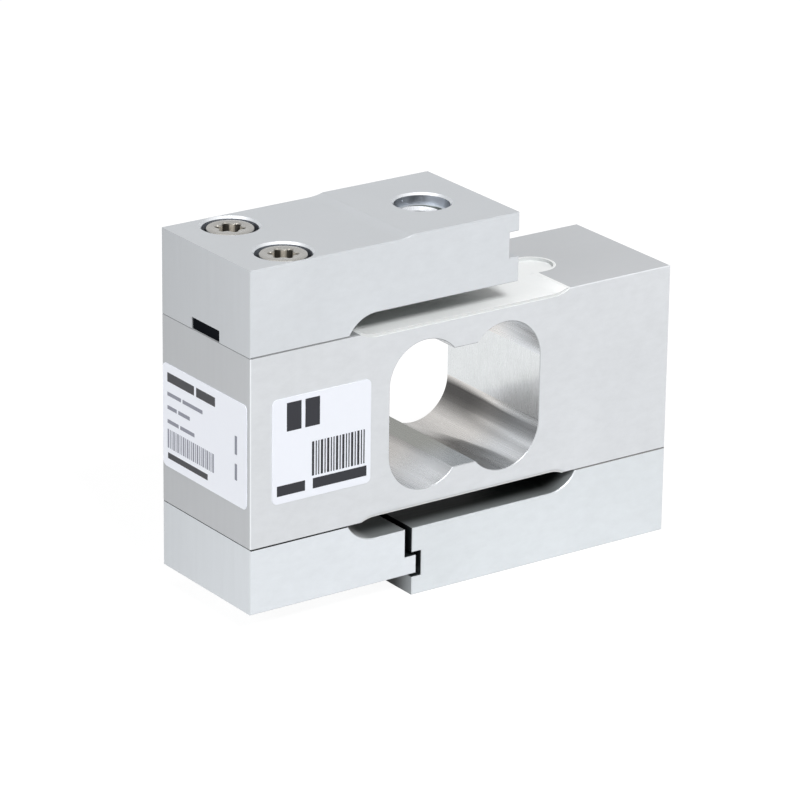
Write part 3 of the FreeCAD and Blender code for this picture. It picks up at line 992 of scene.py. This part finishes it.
def print_label(name, node, bars, materials):
    """Lays thin bars on a label; each is left, low, width, height in millimetres and its ink."""
    low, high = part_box(node)
    on_front = high.y - low.y < high.x - low.x
    thickness = 0.02 * MM
    bm = bmesh.new()
    for left, bottom, width, height, ink in bars:
        size = Vector((width * MM, thickness, height * MM))
        if on_front:
            corner = Vector((low.x + left * MM, low.y - thickness, low.z + bottom * MM))
        else:
            size = Vector((thickness, width * MM, height * MM))
            corner = Vector((low.x - thickness, high.y - (left + width) * MM, low.z + bottom * MM))
        before = len(bm.faces)
        bmesh.ops.create_cube(bm, size=1.0, matrix=block_matrix(corner + size / 2, size))
        bm.faces.ensure_lookup_table()
        for face in bm.faces[before:]:
            face.material_index = ink
    add_piece(name, bm, materials, weighted=False)


# ---- stage ----
def seen_directly(nodes):
    """1 for a ray from the camera, a mirror or glass, and 0 for light that falls on the cell."""
    path = nodes.add("LightPath").outputs
    mirror = nodes.math("MAXIMUM", path["Is Glossy Ray"], path["Is Transmission Ray"])
    return nodes.math("MAXIMUM", path["Is Camera Ray"], mirror)


def add_lamp(name, place, target, size, power):
    lamp = bpy.data.lights.new(name, "AREA")
    lamp.shape = "RECTANGLE"
    lamp.size, lamp.size_y = size
    lamp.energy = power
    item = bpy.data.objects.new(name, lamp)
    item.location = place
    item.rotation_euler = (Vector(target) - Vector(place)).to_track_quat("-Z", "Y").to_euler()
    bpy.context.scene.collection.objects.link(item)


class LOADCELL_OT_stage(bpy.types.Operator):
    """Set the floor, the lamps and the camera"""
    bl_idname = "loadcell.stage"
    bl_label = "Stage"

    def execute(self, context):
        scene = context.scene
        stage = scene.load_cell_stage
        middle = Vector((0, 0, MID_HEIGHT))

        bm = bmesh.new()
        bmesh.ops.create_grid(bm, x_segments=2, y_segments=2, size=stage.floor_size / 2)
        mesh = bpy.data.meshes.new("floor")
        bm.to_mesh(mesh)
        bm.free()
        floor = bpy.data.objects.new("floor", mesh)
        scene.collection.objects.link(floor)
        nodes = Finish("floor_paper")
        mesh.materials.append(nodes.done((0.6, 0.6, 0.6, 1), 0.9, specular=0.0))
        glow = nodes.add("Emission", Color=(1, 1, 1, 1), Strength=1.23)
        share = nodes.math("MULTIPLY", seen_directly(nodes), 0.75)
        blend = nodes.add("MixShader", Fac=share)
        nodes.join(nodes.shader.outputs[0], blend.inputs[1])
        nodes.join(glow.outputs[0], blend.inputs[2])
        nodes.join(blend.outputs[0], nodes.tree.nodes["Material Output"].inputs["Surface"])

        world = bpy.data.worlds.new("studio")
        world.use_nodes = True
        scene.world = world
        nodes = Nodes(world.node_tree)
        back = world.node_tree.nodes["Background"]
        back.inputs["Color"].default_value = (1, 1, 1, 1)
        strength = nodes.ranged(seen_directly(nodes), stage.ambient, 1.0, 0.0, 1.0)
        nodes.join(strength, back.inputs["Strength"])

        add_lamp("key", middle + Vector((-0.2, -1.45, 1.45)), middle, (0.5, 0.5), stage.key)
        add_lamp("top", middle + Vector((-0.3, 0.3, 2.0)), middle, (1.6, 1.6), stage.top)
        add_lamp("side", middle + Vector((-1.9, -0.5, 0.7)), middle, (1.2, 1.2), stage.side)

        camera = bpy.data.cameras.new("camera")
        camera.lens = stage.lens
        camera.sensor_width = 36.0
        camera.clip_start = 0.01
        camera.clip_end = 20.0
        item = bpy.data.objects.new("camera", camera)
        turn = (Matrix.Rotation(-stage.azimuth, 4, "Z")
                @ Matrix.Rotation(math.pi / 2 - stage.elevation, 4, "X")
                @ Matrix.Rotation(stage.roll, 4, "Z"))
        item.matrix_world = Matrix.Translation(stage.place) @ turn
        scene.collection.objects.link(item)
        scene.camera = item
        scene.view_settings.view_transform = "Standard"
        return {"FINISHED"}


# ---- add-on ----
OPERATORS = (LOADCELL_OT_body, LOADCELL_OT_blocks, LOADCELL_OT_threads, LOADCELL_OT_screws,
             LOADCELL_OT_gauges, LOADCELL_OT_potting, LOADCELL_OT_labels, LOADCELL_OT_stage)
GROUPS = {"load_cell_finish": LoadCellFinish, "load_cell_thread": LoadCellThread,
          "load_cell_screws": LoadCellScrews, "load_cell_stage": LoadCellStage}


class LOADCELL_PT_panel(bpy.types.Panel):
    """Lists the load cell's pieces and their settings"""
    bl_idname = "LOADCELL_PT_panel"
    bl_label = "Load Cell"
    bl_space_type = "VIEW_3D"
    bl_region_type = "UI"
    bl_category = "Load Cell"

    def draw(self, context):
        for operator in OPERATORS:
            self.layout.operator(operator.bl_idname)
        for attribute, group in GROUPS.items():
            box = self.layout.box()
            for name in group.__annotations__:
                box.prop(getattr(context.scene, attribute), name)


CLASSES = (*GROUPS.values(), *OPERATORS, LOADCELL_PT_panel)


def register():
    for item in CLASSES:
        bpy.utils.register_class(item)
    for attribute, group in GROUPS.items():
        setattr(bpy.types.Scene, attribute, PointerProperty(type=group))


def unregister():
    for attribute in GROUPS:
        delattr(bpy.types.Scene, attribute)
    for item in reversed(CLASSES):
        bpy.utils.unregister_class(item)


def main():
    """Builds every piece in order."""
    register()
    for operator in OPERATORS:
        group, name = operator.bl_idname.split(".")
        getattr(getattr(bpy.ops, group), name)()


if __name__ == "__main__":
    main()
